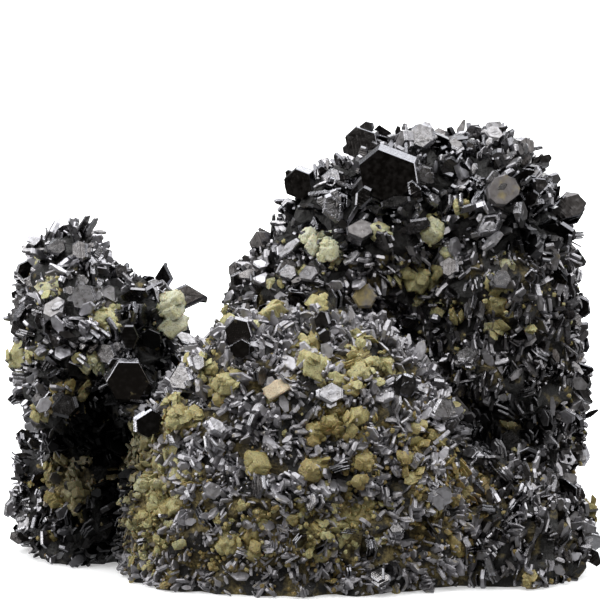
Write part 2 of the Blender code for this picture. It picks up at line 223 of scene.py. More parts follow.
BLADES = [Blade(*row) for row in (
    (22, 54.6, 3.5, 2, 0.8, 40, 20, 0.5), (18.9, 52.9, 1.8, 1.2, 0.5, 110, 45, 0.6),
    (25.1, 55.1, 1.6, 1, 0.5, 70, 45, 0.6), (21.5, 49.1, 1.3, 0.9, 0.4, 10, 45, 0.6),
    (23.1, 51.7, 1.6, 0.9, 0.4, 85, 45, 0.6), (19.4, 47, 3.2, 2, 0.5, 75, 25, 0.5),
    (20.9, 47.2, 3, 2, 0.5, 80, 25, 0.5), (27.6, 53.3, 2.6, 1.6, 0.4, 35, 25, 0.4),
    (28.3, 52.5, 2.8, 1.6, 0.4, 33, 25, 0.4), (9.7, 47.9, 2.6, 1.4, 0.7, -43, 40, 0.7),
    (17.7, 47.6, 2.2, 1.4, 0.9, -45, 35, 0.5), (6.8, 39.9, 3, 1.4, 0.3, 38, 40, 0.6),
    (25.3, 42.1, 4.2, 2, 0.8, 44, 30, 0.7), (28.6, 46.5, 1.5, 1, 0.5, 70, 45, 0.8),
    (29.2, 44.8, 2.2, 1, 0.3, -80, 40, 0.6), (-5.3, 39, 2.2, 1.6, 0.5, -10, 50, 0.8),
    (-5.2, 36.9, 1.8, 1.3, 0.5, -5, 50, 0.8), (-1.5, 41.1, 4.1, 1.6, 0.4, 42, 40, 0.6),
    (-10.7, 30.7, 1.8, 1.3, 0.5, -40, 50, 0.7), (-13.9, 26, 2.8, 1.6, 0.5, -60, 35, 0.6),
    (-17.2, 22.3, 1.6, 1, 0.4, -55, 45, 0.7), (-14.7, 23.3, 1.3, 0.9, 0.4, -45, 45, 0.7),
    (-16.3, 15.8, 2.2, 1.3, 0.5, -50, 40, 0.6), (-16.7, 12.8, 1.1, 0.8, 0.4, -45, 45, 0.7),
    (-11.1, 17.7, 3, 2, 1.1, -45, 40, 0.8), (-11.8, 15.2, 3.4, 1.6, 0.4, -70, 35, 0.6),
    (-10.7, 15.6, 3.2, 1.6, 0.4, -40, 35, 0.6), (-13.6, 12.8, 2.4, 1.4, 0.5, -50, 40, 0.7),
    (-14.3, 8.8, 2, 1.3, 0.5, -52, 40, 0.6), (-21.2, 11, 2, 1.2, 0.3, 70, 40, 0.6),
    (-26.9, 8.7, 1.8, 1.3, 0.5, 10, 70, 0.7), (17.1, 25.3, 2.8, 1.5, 0.6, 38, 35, 0.5),
    (21.9, 26.7, 4.2, 2, 0.7, 38, 35, 0.5), (12.6, 20.6, 3, 1.6, 0.4, 80, 40, 0.6),
    (13.9, 19, 2.4, 1.4, 0.4, 50, 40, 0.6), (-32, 33.5, 2, 1.2, 0.3, 25, 45, 0.6),
    (-22.1, 32.6, 3.4, 2, 0.5, 88, 25, 0.1), (12.6, 47.2, 4.4, 1.4, 0.9, 12, 80, 0, 3.4),
    (15.2, 48.6, 3.4, 1.6, 0.8, -62, 84, 0, 3.2), (8.4, 48, 3.4, 1.8, 0.8, 64, 86, 0, 3.2),
    (10.2, 46.2, 3.4, 1.6, 0.6, -20, 80, 0, 2.4), (-24.6, 21.2, 3, 1.8, 0.7, 30, 84, 0, 2),
    (-20.8, 32.4, 3.2, 2, 0.5, 92, 25, 0.1), (-22.4, 29.4, 3.6, 2.2, 0.8, 90, 78, 0, 1.8),
)]

# How small crystals cover each part: plates, grains and crumbs to the square millimetre with the
# range of their sizes, how dark the plates run, and how much ochre lies between them
Cover = namedtuple("Cover", "plates across grains side crumbs darkness ochre")

COVERS = {
    "summit": Cover(1.0, (2.0, 5.6), 0.0, (0.8, 1.5), 0.01, 3.2, 0.05),
    "right": Cover(1.45, (1.5, 4.4), 0.035, (0.6, 1.8), 0.10, 1.2, 0.45),
    "left": Cover(1.55, (1.5, 4.4), 0.012, (0.6, 1.8), 0.08, 0.75, 0.25),
    "front": Cover(2.3, (1.4, 3.8), 0.12, (0.5, 1.7), 0.30, 0.14, 0.55),
    "foot": Cover(2.6, (1.1, 3.2), 0.08, (0.4, 1.2), 0.40, 0.08, 0.65),
    "root": Cover(1.5, (1.2, 3.2), 0.08, (0.6, 1.6), 0.25, 1.0, 0.2),
}
PLATED = (*COVERS, "rear")
SIDERITE = ("rhombs", "grains", "crumbs", "nodules")
SMOOTH = ("rhombs", "nodules")
REAR_FROM = 0.45
REAR_SHARE = 0.8
LOWEST_PLATE = 0.3 * MM
FLOOR_REACH = 0.2

# Small plates, by their own size: most are small, and a few stand in stacks
SMALL_PLATES = 2.2
PLATE_THICKNESS = (0.07, 0.20)
PLATE_WIDTH = (0.26, 0.8)
PLATE_RAISE = (0.05, 0.35)
BEVELLED_ACROSS = 1.3 * MM
REAR_BEVELLED_ACROSS = 2.0 * MM
STACK_SHARE = 0.06
STACK_PLATES = (2, 5)
STACK_THINNER = 0.6
STACK_STEP = 1.12
STACK_SLIP = 0.25
TONE_SIZE = 5 * MM
TONE_SPREAD = 0.35

# How far the placed tablets keep small crystals off their broad faces
GUARD_SHARE = 0.36
RIM_GUARD_SHARE = 0.56
GUARD_BEHIND = 0.5
GUARD_BEFORE = 1.8

# Small plates stand alike in groups of about this size, more so than they stand at random
GROUP_SIZE = 3.5 * MM
GROUP_ORDER = 2.4
CURTAIN_FROM = 13 * MM
CURTAIN_SHARE = 0.6
PATCH_SIZE = 3.4 * MM
CLUMP_SIZE = 2.6 * MM
CLUMP_START = Vector((7, 3, 5))
CLUMP_PLATES = (0.15, 1.5)

# Where siderite lies thick, as seen from the front, from ochre, at 0, to cream, at 1
Bed = namedtuple("Bed", "x up half_x half_up richness tone")

BEDS = [Bed(*row) for row in (
    (-16.8, 33.6, 1.8, 2.8, 1, 0.9), (-25.6, 32, 1.8, 1.2, 0.7, 0.75),
    (-27.7, 26.5, 1.8, 1.8, 0.7, 0.75), (-32.5, 36, 1.2, 1.5, 0.7, 0.8),
    (-30.5, 20.8, 2.4, 1.8, 0.7, 0.42), (-30.5, 10, 2.8, 3.2, 1, 0.5),
    (-10.2, 23.3, 2.8, 2, 0.8, 0.62), (-16.1, 18.6, 1.9, 2.4, 1, 0.6),
    (3, 41.6, 2, 1.3, 0.45, 0.92), (17.3, 43.3, 1.6, 1.5, 0.5, 0.8),
    (10.5, 43.4, 0.9, 1.4, 0.4, 0.75), (15.5, 36.9, 3.6, 2.2, 0.6, 0.6),
    (19.5, 40, 1.4, 2.4, 0.4, 0.7), (26, 33.5, 1.5, 3.6, 0.7, 0.66), (7, 25.5, 3.2, 3, 0.65, 0.62),
    (1.3, 28, 1.6, 1.8, 0.7, 0.62), (5.2, 18.2, 4.2, 2.2, 0.85, 0.44),
    (1.4, 11.9, 1.9, 1.8, 0.9, 0.43), (8.4, 13.2, 1.8, 1.6, 0.9, 0.42), (15, 16, 3, 4, 0.5, 0.42),
    (21, 7, 6, 5, 0.35, 0.35), (4.3, 5.3, 7, 4, 0.6, 0.58), (-19.3, 8.5, 4, 8.5, 0.9, 0.62),
    (-6, 5, 5, 4, 0.5, 0.54),
)]
BED_PLATES = 0.55
BED_GRAINS = 0.42
BED_CRUMBS = 0.5
BED_NODULES = 0.24
BED_OCHRE = 1.1
BED_RISE = 0.6 * MM
BED_EDGE = 1.6
GRAIN_SHAPE = ((0.6, 1.0), (0.5, 0.9), (0.35, 0.7))
GRAIN_LEAN = (0, 80)
NODULE_ACROSS = (1.4, 3.4)
NODULE_HEIGHT = 0.55
NODULE_LEAN = (0, 15)
CRUMB_SIDE = (0.3, 0.9)

# Deep places darkened with painted shade, as seen from the front. The painted shade fades out behind the
# middle.
Hollow = namedtuple("Hollow", "x up half_x half_up depth")

HOLLOWS = [Hollow(*row) for row in (
    (-26.5, 14.5, 7, 9.5, 1), (-27, 4, 5.5, 7, 0.75), (-19.5, 28, 3, 7, 0.8),
    (27, 18, 8, 4.5, 0.65), (30, 43, 5, 3.2, 0.7), (12, 46.5, 3.5, 2.5, 0.6), (20, 33, 9, 6, 0.3),
)]
HOLLOW_EDGE = 1.35
FADE_FROM = 8 * MM
FADE_DEPTH = 6 * MM


class Wire:
    """A node's output. Arithmetic on it adds Math nodes to the same tree."""

    def __init__(self, finish, socket):
        self.finish = finish
        self.socket = socket

    def __add__(self, other):
        return self.finish.math("ADD", self, other)

    def __radd__(self, other):
        return self.finish.math("ADD", other, self)

    def __sub__(self, other):
        return self.finish.math("SUBTRACT", self, other)

    def __rsub__(self, other):
        return self.finish.math("SUBTRACT", other, self)

    def __mul__(self, other):
        return self.finish.math("MULTIPLY", self, other)

    def __rmul__(self, other):
        return self.finish.math("MULTIPLY", other, self)


class Tree:
    """Adds nodes to a shader tree."""

    def __init__(self, tree):
        self.tree = tree

    def node(self, kind, settings=None, inputs=None, output=0):
        """A node with its settings made first, then its sockets' values or links."""
        made = self.tree.nodes.new("ShaderNode" + kind)
        for name, value in (settings or {}).items():
            if name == "stops":
                self.set_stops(made.color_ramp.elements, value)
            else:
                setattr(made, name, value)
        for key, value in (inputs or {}).items():
            self.feed(made.inputs[key], value)
        return Wire(self, made.outputs[output])

    def set_stops(self, elements, stops):
        """Fills a ramp with (place, colour) stops."""
        while len(elements) < len(stops):
            elements.new(1)
        for element, (place, colour) in zip(elements, stops):
            element.position = place
            element.color = (*colour, 1)

    def feed(self, socket, value):
        """Links a wire to a socket, or sets the socket's value."""
        if isinstance(value, Wire):
            self.tree.links.new(value.socket, socket)
        else:
            socket.default_value = value

    def math(self, operation, *values, clamp=False):
        """A Math node on wires and numbers."""
        settings = {"operation": operation, "use_clamp": clamp}
        return self.node("Math", settings, dict(enumerate(values)))

    def clamped(self, wire):
        """The wire held between 0 and 1."""
        return self.math("ADD", wire, 0, clamp=True)

    def mix(self, low, high, factor):
        """A colour that goes from low to high as factor goes from 0 to 1."""
        low, high = [value if isinstance(value, Wire) else (*value, 1) for value in (low, high)]
        return self.node("Mix", {"data_type": "RGBA"}, {0: factor, 6: low, 7: high}, output=2)

    def attributes(self, *names):
        """Values that the mesh carries."""
        return [self.node("Attribute", {"attribute_name": name}, output=2) for name in names]

    def noise(self, place, size, detail=2, seed=0, stretch=(1, 1, 1)):
        """Clouded noise with lumps about size across, where place is in the same unit."""
        scale = [1 / (size * along) for along in stretch]
        scaled = self.node("Mapping", {}, {"Vector": place, "Scale": scale})
        inputs = {"Vector": scaled, "W": seed, "Scale": 1, "Detail": detail}
        return self.node("TexNoise", {"noise_dimensions": "4D"}, inputs)

    def ramp(self, factor, *stops):
        """A colour read from stops."""
        return self.node("ValToRGB", {"stops": stops}, {0: factor})

    def bump(self, height, distance, strength):
        """A normal from a height between 0 and 1."""
        return self.node("Bump", {}, {"Strength": strength, "Distance": distance, "Height": height})


class Finish(Tree):
    """A material's tree round one Principled shader."""

    def __init__(self, name, **values):
        self.material = bpy.data.materials.new(name)
        self.material.use_nodes = True
        super().__init__(self.material.node_tree)
        self.shader = self.tree.nodes["Principled BSDF"]
        self.face_place = self.node("Attribute", {"attribute_name": "face_place"}, output=1)
        self.place = self.node("TexCoord", output=3)
        self.dress(**values)

    def dress(self, **sockets):
        """Sets the shader's sockets, or links what varies over the surface."""
        for name, value in sockets.items():
            self.feed(self.shader.inputs[name.replace("_", " ").title().replace("Ior", "IOR")], value)
        return self.material


def hematite_finish():
    """Black metallic hematite with grown steps, paler and duller where a tablet is frosted, darkened towards
    black by painted shade in the hollows and with paler metal painted on rim faces as a highlight.
    """
    finish = Finish("black_hematite")
    shade, rim, tone, dust = finish.attributes("shade", "rim", "tone", "dust")
    seed = tone * 40
    streaks = finish.noise(finish.face_place, 0.22, 2, seed, (1, 12, 1))
    swells = finish.noise(finish.face_place, 1.6, 1, seed)
    clouds = finish.noise(finish.face_place, 0.7, 4, seed)
    specks = finish.noise(finish.face_place, 0.14, 2, seed)
    frost = finish.clamped(tone + (clouds - 0.5) * (0.35 + tone * 1.1) - rim * 0.15)
    metal = finish.ramp(frost, (0.0, (0.019, 0.017, 0.016)), (0.2, (0.105, 0.099, 0.098)),
                        (0.5, (0.22, 0.212, 0.213)), (1.0, (0.55, 0.54, 0.57)))
    # Painted highlight: rim faces get paler metal so that they read as bright edges.
    bright = finish.mix(metal, (0.50, 0.50, 0.54), finish.clamped(rim * 0.28))
    coated = finish.noise(finish.place, 1.4 * MM, 4)
    film = finish.clamped((coated + dust * 0.35 - 0.80) * 6)
    dirt = finish.mix((0.06, 0.05, 0.025), (0.40, 0.32, 0.14), clouds)
    dulled = finish.mix(bright, (0.20, 0.172, 0.160), finish.clamped((dust - 0.2) * 0.4))
    haze = finish.math("MINIMUM", finish.clamped((dust - 0.35) * 0.9), 0.32)
    # Painted shade: the hollows turn the metal near black, less on rim faces so their painted highlight
    # still shows.
    painted_shade_amount = finish.clamped((shade - 0.13) * (1.65 - rim * 0.3))
    return finish.dress(
        base_color=finish.mix(finish.mix(dulled, dirt, film), (0.008, 0.008, 0.008), painted_shade_amount),
        metallic=finish.clamped(1 - film),
        roughness=0.12 + frost * 0.30 + haze + (specks - 0.5) * 0.2 + film * 0.3 + shade * 0.15,
        normal=finish.bump(streaks * 0.35 + swells * 0.3 + clouds * 0.25 + specks * 0.1, 0.2 * MM, 0.8),
    )


def siderite_finish():
    """Cream to brown siderite, clouded and pitted, and darkened towards black by painted shade in the
    hollows.
    """
    finish = Finish("cream_siderite", subsurface_weight=0.10, subsurface_scale=0.7 * MM, ior=1.6)
    shade, tone, dust = finish.attributes("shade", "tone", "dust")
    clouds = finish.noise(finish.face_place, 0.8, 3, tone * 40)
    pits = finish.noise(finish.face_place, 0.20, 3, tone * 40)
    hue = finish.clamped(tone + clouds * 0.60 - 0.30)
    colour = finish.ramp(hue, (0.0, (0.09, 0.056, 0.018)), (0.25, (0.22, 0.155, 0.040)),
                         (0.5, (0.29, 0.238, 0.080)), (0.75, (0.41, 0.385, 0.18)),
                         (1.0, (0.50, 0.505, 0.385)))
    warmed = finish.mix(colour, (0.46, 0.37, 0.26), dust)
    stained = finish.mix(warmed, (0.065, 0.05, 0.027), finish.clamped((pits - 0.50) * 3.6))
    # Painted shade darkens the siderite in the hollows.
    return finish.dress(
        base_color=finish.mix(stained, (0.012, 0.009, 0.006), shade * 0.78),
        roughness=0.40 + clouds * 0.25,
        normal=finish.bump(clouds * 0.5 + pits * 0.5, 0.3 * MM, 0.9),
    )


def crust_finish():
    """The fine crust between the crystals: near black, partly its own dark colour and partly painted shade
    in the gaps, with ochre in patches and painted shade in the hollows.
    """
    finish = Finish("dark_crust")
    shade, dust = finish.attributes("shade", "dust")
    patches = finish.noise(finish.place, 2.4 * MM, 4)
    grains = finish.noise(finish.place, 0.35 * MM, 3)
    # Near black: the crust's own dark colour, deepened as painted shade in the gaps between crystals.
    dark = finish.mix((0.003, 0.003, 0.003), (0.018, 0.016, 0.014), grains)
    ochre = finish.mix((0.03, 0.022, 0.010), (0.38, 0.30, 0.12), finish.clamped(grains * 2.4 - 0.7))
    mask = finish.clamped((patches + dust * 0.35 - 0.68) * 6)
    # Painted shade darkens the hollows further.
    return finish.dress(
        base_color=finish.mix(finish.mix(dark, ochre, mask), (0.002, 0.002, 0.002), shade * 0.8),
        roughness=0.65 + mask * 0.2,
        normal=finish.bump(grains, 0.3 * MM, 0.8),
    )


def floor_finish():
    """A pale floor that whitens away from the specimen, by a painted glow that grows with distance."""
    finish = Finish("pale_floor", roughness=0.8, emission_strength=1)
    reach = finish.node("VectorMath", {"operation": "LENGTH"}, {0: finish.place}, output=1)
    far = finish.clamped((reach - 30 * MM) * (1 / (90 * MM)))
    return finish.dress(
        base_color=finish.mix((0.79, 0.79, 0.79), (0.82, 0.82, 0.82), finish.noise(finish.place, 4 * MM, 3)),
        # Painted light: the floor glows, dimly near the specimen and white further off.
        emission_color=finish.mix((0.35, 0.35, 0.35), (1, 1, 1), far),
    )


# Seeds of the forms, of the noise that wears them and turns the plates, and of what is planted
FORM_SEED = 4
NOISE_SEED = 5
THICKET_SEED = 31
TABLET_SEED = 8
RHOMB_SEED = 9
BLADE_SEED = 12

# How many forms of each kind there are to draw from, and the sides of those that aren't hexagons
TABLET_FORMS = {"small": 16, "slab": 10, "sheet": 12, "spear": 3, "crown": 2, "hood": 2, "corner": 2,
                "plate": 8, "round": 4, "dull": 2, "framed": 2}
SIDES = {"round": 12, "dull": 9}

# The widest tablet of the summit is longest along its upper side
CROWN_REACH = (0.50, 0.43, 0.46, 0.42, 0.40, 0.42)

# How wide the front rim faces of the best tablets are, from the right side and round over the top
RIMS = {
    "crown": (0.03, 0.08, 0.05, 0.02, 0.02, 0.02),
    "hood": (0.02, 0.055, 0.055, 0.02, 0.015, 0.015),
    "corner": (0.03, 0.05, 0.12, 0.10, 0.03, 0.03),
}
CHAMFERS = (0.016, 0.016, 0.012, 0, 0, 0)
CHAMFER_DROP = 0.05
# How strongly rim faces are painted with paler metal as a highlight; the corner tablet's rims most, so they
# glint.
BRIGHT_RIM = 1.7
GLINTING_RIM = 4.0
FILMED_DUST = {"dull": 0.8, "filmed": 1.1}

Form = namedtuple("Form", "points faces rims")


def outline(distances):
    """Corners of a flat form whose sides lie at the given distances from its middle."""
    step = math.tau / len(distances)
    corners = []
    for index, reach in enumerate(distances):
        near = index * step
        far = near + step
        onward = distances[(index + 1) % len(distances)]
        corners.append(((reach * math.sin(far) - onward * math.sin(near)) / math.sin(step),
                        (onward * math.cos(near) - reach * math.cos(far)) / math.sin(step)))
    return corners


def lofted(rings, rim=1):
    """A closed form through rings of side distances and a height, capped at both ends.

    Rim is how bright its side faces are, as a highlight painted in paler metal.
    """
    sides = len(rings[0][0])
    points = [(x, y, height) for distances, height in rings for x, y in outline(distances)]
    faces = [tuple(reversed(range(sides)))]
    last = len(points) - sides
    for start in range(0, last, sides):
        for index in range(sides):
            after = (index + 1) % sides
            faces.append((start + index, start + after, start + sides + after, start + sides + index))
    rims = [0] + [rim] * (len(faces) - 1) + [0]
    faces.append(tuple(range(last, last + sides)))
    return Form(numpy.array(points), faces, rims)


def long_outline(rng, end, side, least):
    """Side distances of a hexagon that is long between two of its sides."""
    return [reach * rng.uniform(least, 1) for reach in (end, side, side) * 2]


def tablet_form(rng, kind):
    """A tablet 1 across and 1 thick, with rim faces that slope by turns wide and narrow."""
    sides = SIDES.get(kind, 6)
    apothem = 0.5 * math.cos(math.pi / sides)
    distances = [apothem * rng.uniform(0.72 if kind == "dull" else 0.82, 1) for _ in range(sides)]
    if kind in ("small", "slab"):
        distances = long_outline(rng, 0.46, rng.uniform(0.27, 0.44), 0.86)
    if kind == "sheet":
        distances = [apothem * rng.uniform(0.66, 1) for _ in range(sides)]
    if kind == "spear":
        distances = long_outline(rng, 0.51, 0.26, 0.97)
    if kind == "framed":
        distances = (0.45, 0.30, 0.30) * 2
    if kind == "crown":
        distances = CROWN_REACH
    share = 0.5 if kind == "dull" else 1
    wide = rng.uniform(0.06, 0.11) * share
    narrow = rng.uniform(0.02, 0.05) * share
    drop = rng.uniform(0.24, 0.36)

    def inset(amount, start=0, frame=0):
        """The sides drawn in by a share of their rims, and by a frame."""
        rim = [narrow if (index + start) % 2 else wide for index in range(sides)]
        return [reach - width * amount - frame for reach, width in zip(distances, rim)]

    if kind == "slab":
        return lofted([(distances, -0.5), (inset(rng.uniform(0.3, 1)), 0.5)])
    if kind in RIMS:
        top = [reach - width for reach, width in zip(distances, RIMS[kind])]
        rings = [(inset(1), -0.5), (distances, -0.2), (distances, 0.02)]
        if kind == "corner":
            return lofted(rings + [(top, 0.5)], GLINTING_RIM)
        edge = [reach - width for reach, width in zip(top, CHAMFERS)]
        return lofted(rings + [(top, 0.5 - CHAMFER_DROP), (edge, 0.5)], BRIGHT_RIM)
    if kind in ("small", "sheet", "dull"):
        return lofted([(distances, -0.5), (distances, 0.5 - drop), (inset(1), 0.5)])
    groove = rng.uniform(-0.10, 0.10)
    rings = [(inset(1, 1), -0.5), (distances, -0.5 + drop), (distances, groove - 0.04),
             (inset(0.35), groove), (distances, groove + 0.04), (distances, 0.5 - drop), (inset(1), 0.5)]
    if kind == "framed":
        rings += [(inset(1, frame=0.05), 0.5), (inset(1, frame=0.06), -0.25)]
    return lofted(rings, BRIGHT_RIM)


def rhomb_form(rng, worn, cuts):
    """A rhombohedron of side 1 standing on its long diagonal, worn towards a ball."""
    form = bmesh.new()
    bmesh.ops.create_cube(form, size=1)
    if cuts:
        bmesh.ops.subdivide_edges(form, edges=form.edges[:], cuts=cuts, use_grid_fill=True)
    else:
        bmesh.ops.bevel(form, geom=form.edges[:], offset=worn * 0.34, segments=1, affect="EDGES")
    start = Vector((rng.random() * 9, rng.random() * 9, 0))
    for corner in form.verts:
        ball = corner.co.normalized() * 0.60
        corner.co = corner.co.lerp(ball, worn if cuts else worn * 0.3)
        corner.co += noise.noise_vector(corner.co * 1.7 + start) * 0.10
        corner.co += noise.noise_vector(corner.co * 5 + start) * 0.05
    lean = math.acos(math.sqrt((1 + 2 * math.cos(RHOMB_ANGLE)) / 3))
    columns = []
    for step in range(3):
        around = step * math.tau / 3
        columns.append(Vector((math.sin(lean) * math.cos(around),
                               math.sin(lean) * math.sin(around), math.cos(lean))))
    bmesh.ops.transform(form, matrix=Matrix(columns).transposed().to_4x4(), verts=form.verts)
    return form_of(form)


def crumb_form(rng):
    """A small worn grain."""
    form = bmesh.new()
    bmesh.ops.create_icosphere(form, subdivisions=1, radius=0.5)
    for corner in form.verts:
        corner.co *= rng.uniform(0.65, 1.1)
    return form_of(form)


def nodule_form(rng):
    """A lumpy cushion of fine siderite."""
    form = bmesh.new()
    bmesh.ops.create_icosphere(form, subdivisions=3, radius=0.5)
    start = Vector((rng.random() * 9, rng.random() * 9, rng.random() * 9))
    for corner in form.verts:
        corner.co *= 1 + noise.noise(corner.co * 3 + start) * 0.7 + noise.noise(corner.co * 9 + start) * 0.35
    return form_of(form)


def form_of(form):
    """The points and faces of a bmesh, which is freed."""
    form.verts.index_update()
    points = numpy.array([corner.co[:] for corner in form.verts])
    faces = [tuple(corner.index for corner in face.verts) for face in form.faces]
    form.free()
    return Form(points, faces, [0] * len(faces))


def make_forms():
    """The forms that crystals are drawn from. Without a seed the noise would differ each run."""
    noise.seed_set(NOISE_SEED)
    rng = random.Random(FORM_SEED)
    forms = {kind: [tablet_form(rng, kind) for _ in range(count)] for kind, count in TABLET_FORMS.items()}
    forms["grain"] = [rhomb_form(rng, rng.uniform(0.2, 0.5), 0) for _ in range(12)]
    forms["rhomb"] = [rhomb_form(rng, rng.uniform(0.05, 0.25), 5) for _ in range(6)]
    forms["crumb"] = [crumb_form(rng) for _ in range(8)]
    forms["nodule"] = [nodule_form(rng) for _ in range(8)]
    forms["filmed"] = [tablet_form(rng, "filmed") for _ in range(2)]
    return forms


Planted = namedtuple("Planted", "form place size values")
VALUES = ("tone", "shade", "dust")


class Growth:
    """Gathers planted crystals and makes one mesh of them."""

    def __init__(self):
        self.planted = []

    def plant(self, form, place, size, tone, dust=0):
        """Sets a form at a place, with its size given as three lengths in metres."""
        # Each planted crystal carries the painted shade of its place.
        self.planted.append(Planted(form, place, size, (tone, painted_shade_at(place.translation), dust)))

    def piece(self, name, finish, slot_name, move, smooth=False):
        """One object of everything planted."""
        groups = {}
        for item in self.planted:
            groups.setdefault(id(item.form), []).append(item)
        points, places, values, faces, rims = [], [], [], [], []
        count = 0
        for items in groups.values():
            form = items[0].form
            local = form.points[None, :, :] * numpy.array([item.size for item in items])[:, None, :]
            frames = numpy.array([move @ item.place for item in items])
            turned = numpy.einsum("nij,npj->npi", frames[:, :3, :3], local) + frames[:, None, :3, 3]
            points.append(turned.reshape(-1, 3))
            places.append((local / MM).reshape(-1, 3))
            values.append(numpy.repeat([item.values for item in items], len(form.points), axis=0))
            for _ in items:
                faces += [tuple(corner + count for corner in face) for face in form.faces]
                rims += form.rims
                count += len(form.points)
        mesh = bpy.data.meshes.new(name)
        mesh.from_pydata(numpy.concatenate(points).tolist(), [], faces)
        spot = mesh.attributes.new("face_place", "FLOAT_VECTOR", "POINT")
        spot.data.foreach_set("vector", numpy.concatenate(places).ravel())
        for key, column in zip(VALUES, numpy.concatenate(values).T.tolist()):
            give_values(mesh, key, column)
        give_values(mesh, "rim", rims, "FACE")
        cut_at_floor(mesh)
        if smooth:
            mesh.shade_smooth()
        seated(name, mesh, finish)


def give_values(mesh, name, values, domain="POINT"):
    """Gives a mesh a value at each of its points or faces."""
    mesh.attributes.new(name, "FLOAT", domain).data.foreach_set("value", values)


def linked(name, data):
    """A new object in the scene."""
    made = bpy.data.objects.new(name, data)
    bpy.context.scene.collection.objects.link(made)
    return made


def seated(name, mesh, finish):
    """Makes a piece of the specimen, which rides on its one body."""
    mesh.materials.append(finish)
    piece = linked(name, mesh)
    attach(piece, "root")
    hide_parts(NODE)


def mesh_of(form, name):
    """A mesh made from a bmesh, which is freed."""
    mesh = bpy.data.meshes.new(name)
    form.to_mesh(mesh)
    form.free()
    return mesh


def cut_at_floor(mesh):
    """Cuts a closed mesh off flat at the floor and closes it."""
    form = bmesh.new()
    form.from_mesh(mesh)
    everything = form.verts[:] + form.edges[:] + form.faces[:]
    bmesh.ops.bisect_plane(form, geom=everything, plane_no=(0, 0, -1), clear_outer=True)
    rim = [edge for edge in form.edges if edge.is_boundary]
    bmesh.ops.holes_fill(form, edges=rim, sides=0)
    form.to_mesh(mesh)
    form.free()


def add_swell(body, name, size, height):
    """Raises lumps of the given size on an object."""
    lumps = bpy.data.textures.new(name, "CLOUDS")
    lumps.noise_scale = size
    lumps.noise_depth = 1
    swell = body.modifiers.new(name, "DISPLACE")
    swell.texture = lumps
    swell.texture_coords = "LOCAL"
    swell.strength = height


def add_facets(body):
    """Thins a skin out to the solid's facets."""
    body.modifiers.new("facets", "DECIMATE").ratio = SKIN_FACE_SHARE


def add_grain(body):
    """Draws a skin in under the solid's and grains it."""
    deeper = body.modifiers.new("deeper", "DISPLACE")
    deeper.strength = -CRUST_DEPTH
    deeper.mid_level = 0
    add_swell(body, "grain", GRAIN_SIZE, GRAIN_HEIGHT)


def wrapped_mounds(voxel, add_last):
    """One lumpy skin round all the mounds, with its last modifiers added by add_last."""
    form = bmesh.new()
    for x, y, z, half_x, half_y, half_z in sum(MOUNDS.values(), ()):
        size = Matrix.Diagonal((half_x * MM, half_y * MM, half_z * MM, 1))
        place = Matrix.Translation((x * MM, y * MM, z * MM))
        bmesh.ops.create_icosphere(form, subdivisions=4, radius=1, matrix=place @ size)
    body = linked("mounds", mesh_of(form, "mounds"))
    skin = body.modifiers.new("skin", "REMESH")
    skin.mode = "VOXEL"
    skin.voxel_size = voxel
    add_swell(body, "lumps", LUMP_SIZE, LUMP_HEIGHT)
    add_last(body)
    bpy.context.view_layer.update()
    mesh = bpy.data.meshes.new_from_object(body.evaluated_get(bpy.context.evaluated_depsgraph_get()))
    bpy.data.objects.remove(body)
    return mesh


def aimed(facing):
    """Turns local +Z to a direction."""
    return facing.to_track_quat("Z", "Y").to_matrix().to_4x4()


def standing(along, facing):
    """Turns local +X along one direction and local +Z to another at right angles."""
    return Matrix((along, facing.cross(along), facing)).transposed().to_4x4()


def seat_in_view(crystal, surface):
    """The point where the front view's line through (x, up) meets the skin, moved out of it."""
    start = Vector((crystal.x * MM, 0, 0)) + VIEW_UP * crystal.up * MM - VIEW_ON * VIEW_DISTANCE
    point = surface.ray_cast(start, VIEW_ON)[0]
    if point is None:
        point = surface.find_nearest(start + VIEW_ON * VIEW_DISTANCE)[0]
        point = start + VIEW_ON * (point - start).dot(VIEW_ON)
    return point - VIEW_ON * crystal.out * MM


def place_in_view(crystal, surface):
    """The place of a crystal that faces as its row says."""
    turn = math.radians(crystal.turn)
    tilt = math.radians(crystal.tilt)
    facing = Vector((math.sin(turn) * math.cos(tilt), -math.cos(turn) * math.cos(tilt), math.sin(tilt)))
    spun = Matrix.Rotation(math.radians(crystal.spin), 4, "Z")
    return Matrix.Translation(seat_in_view(crystal, surface)) @ (aimed(facing) @ spun)


def scattered_seats(rng, mesh, count, taken):
    """Seats spread over the skin by area, clear of the taken ones."""
    faces = list(mesh.polygons)
    areas = [face.area * (FRONT_SHARE if face.normal.y < REARWARD else 1) for face in faces]
    seats = []
    for face in rng.choices(faces, weights=areas, k=count * TRIES_PER_SEAT):
        if len(seats) == count:
            break
        corners = [mesh.vertices[index].co for index in face.vertices[:3]]
        a, b = sorted((rng.random(), rng.random()))
        point = corners[0] * a + corners[1] * (b - a) + corners[2] * (1 - b)
        if point.z < LOWEST_SEAT:
            continue
        if any((point - other).length < SEAT_SPACING + reach for other, reach in taken):
            continue
        taken.append((point, 0))
        seats.append((point, face.normal.copy()))
    return seats


def random_stance(rng, normal, lean):
    """Turns local +Z away from the skin's normal by an angle in the lean range, to any side."""
    sideways = normal.orthogonal().normalized()
    sideways.rotate(Matrix.Rotation(rng.uniform(0, math.tau), 3, normal))
    angle = math.radians(rng.uniform(*lean))
    facing = normal * math.cos(angle) + sideways * math.sin(angle)
    return aimed(facing) @ Matrix.Rotation(rng.uniform(0, math.tau), 4, "Z")


